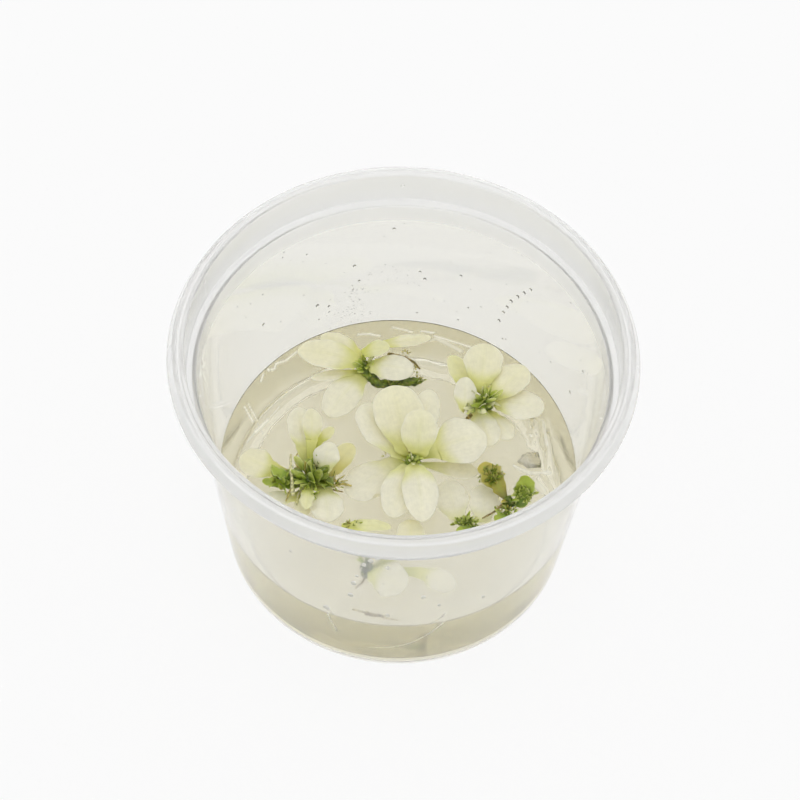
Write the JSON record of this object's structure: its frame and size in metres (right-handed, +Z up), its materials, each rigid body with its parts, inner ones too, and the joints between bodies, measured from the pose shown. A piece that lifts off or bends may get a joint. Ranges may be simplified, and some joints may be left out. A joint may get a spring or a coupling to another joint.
{
  "type": "aquarium plant culture cup",
  "caption": "Clear tissue-culture cup of nutrient gel holding small white-leaved anubias plantlets, with short green stems and a few leaves sunk in the gel; open top.",
  "frame": {"origin": "centre of the cup's foot, on the surface it stands on", "axes": "+Z up along the cup's axis, -Y towards the front of the picture, +X to the right of the picture"},
  "size_m": [0.1, 0.1, 0.071],
  "materials": {
    "cup_plastic": "clear, slightly milky, glossy",
    "gel": "clear nutrient gel, faintly beige, moist",
    "white_leaf": "thin leaf, cream white with yellow-green at the base, satin, lets light through",
    "green_leaf": "thin green leaf, satin",
    "rhizome": "green to nearly black stem, moist",
    "root": "pale yellow-brown root"
  },
  "bodies": {
    "root": {"back_left_leaf_back": "white_leaf", "back_left_leaf_centre": "white_leaf", "back_left_leaf_far_right": "white_leaf", "back_left_leaf_front": "white_leaf", "back_left_leaf_left": "white_leaf", "back_left_leaf_low_left": "white_leaf", "back_left_leaf_right": "white_leaf", "back_left_rhizome": "rhizome", "back_left_root": "root", "back_right_leaf_back": "white_leaf", "back_right_leaf_far_left": "white_leaf", "back_right_leaf_far_right": "white_leaf", "back_right_leaf_front": "white_leaf", "back_right_leaf_left": "white_leaf", "back_right_leaf_low_right": "white_leaf", "back_right_leaf_right": "white_leaf", "back_right_rhizome": "rhizome", "centre_leaf_back": "white_leaf", "centre_leaf_back_right": "white_leaf", "centre_leaf_front_left": "white_leaf", "centre_leaf_front_right": "white_leaf", "centre_leaf_left": "white_leaf", "centre_leaf_middle": "white_leaf", "centre_leaf_right": "white_leaf", "centre_leaf_sunk_left": "white_leaf", "centre_leaf_sunk_right": "white_leaf", "centre_rhizome": "rhizome", "cup": "cup_plastic", "front_leaf_back": "white_leaf", "front_leaf_far_right": "white_leaf", "front_leaf_narrow": "white_leaf", "front_leaf_right": "white_leaf", "front_rhizome": "rhizome", "front_right_leaf_bud": "green_leaf", "front_right_leaf_left": "white_leaf", "front_right_leaf_right": "white_leaf", "front_right_rhizome": "rhizome", "gel": "gel", "gel_lump": "gel", "left_leaf_back": "white_leaf", "left_leaf_back_left": "white_leaf", "left_leaf_far_left": "white_leaf", "left_leaf_far_right": "white_leaf", "left_leaf_front": "white_leaf", "left_leaf_front_left": "white_leaf", "left_leaf_green_front": "green_leaf", "left_leaf_green_left": "green_leaf", "left_leaf_green_low": "green_leaf", "left_leaf_green_right": "green_leaf", "left_leaf_green_up": "green_leaf", "left_leaf_low": "white_leaf", "left_leaf_right": "white_leaf", "left_leaf_small": "white_leaf", "left_rhizome": "rhizome", "left_root_long": "root", "left_root_right": "root", "right_leaf_cup": "green_leaf", "right_leaf_curl": "green_leaf", "right_leaf_low": "green_leaf", "right_rhizome": "rhizome"}
  },
  "joints": []
}
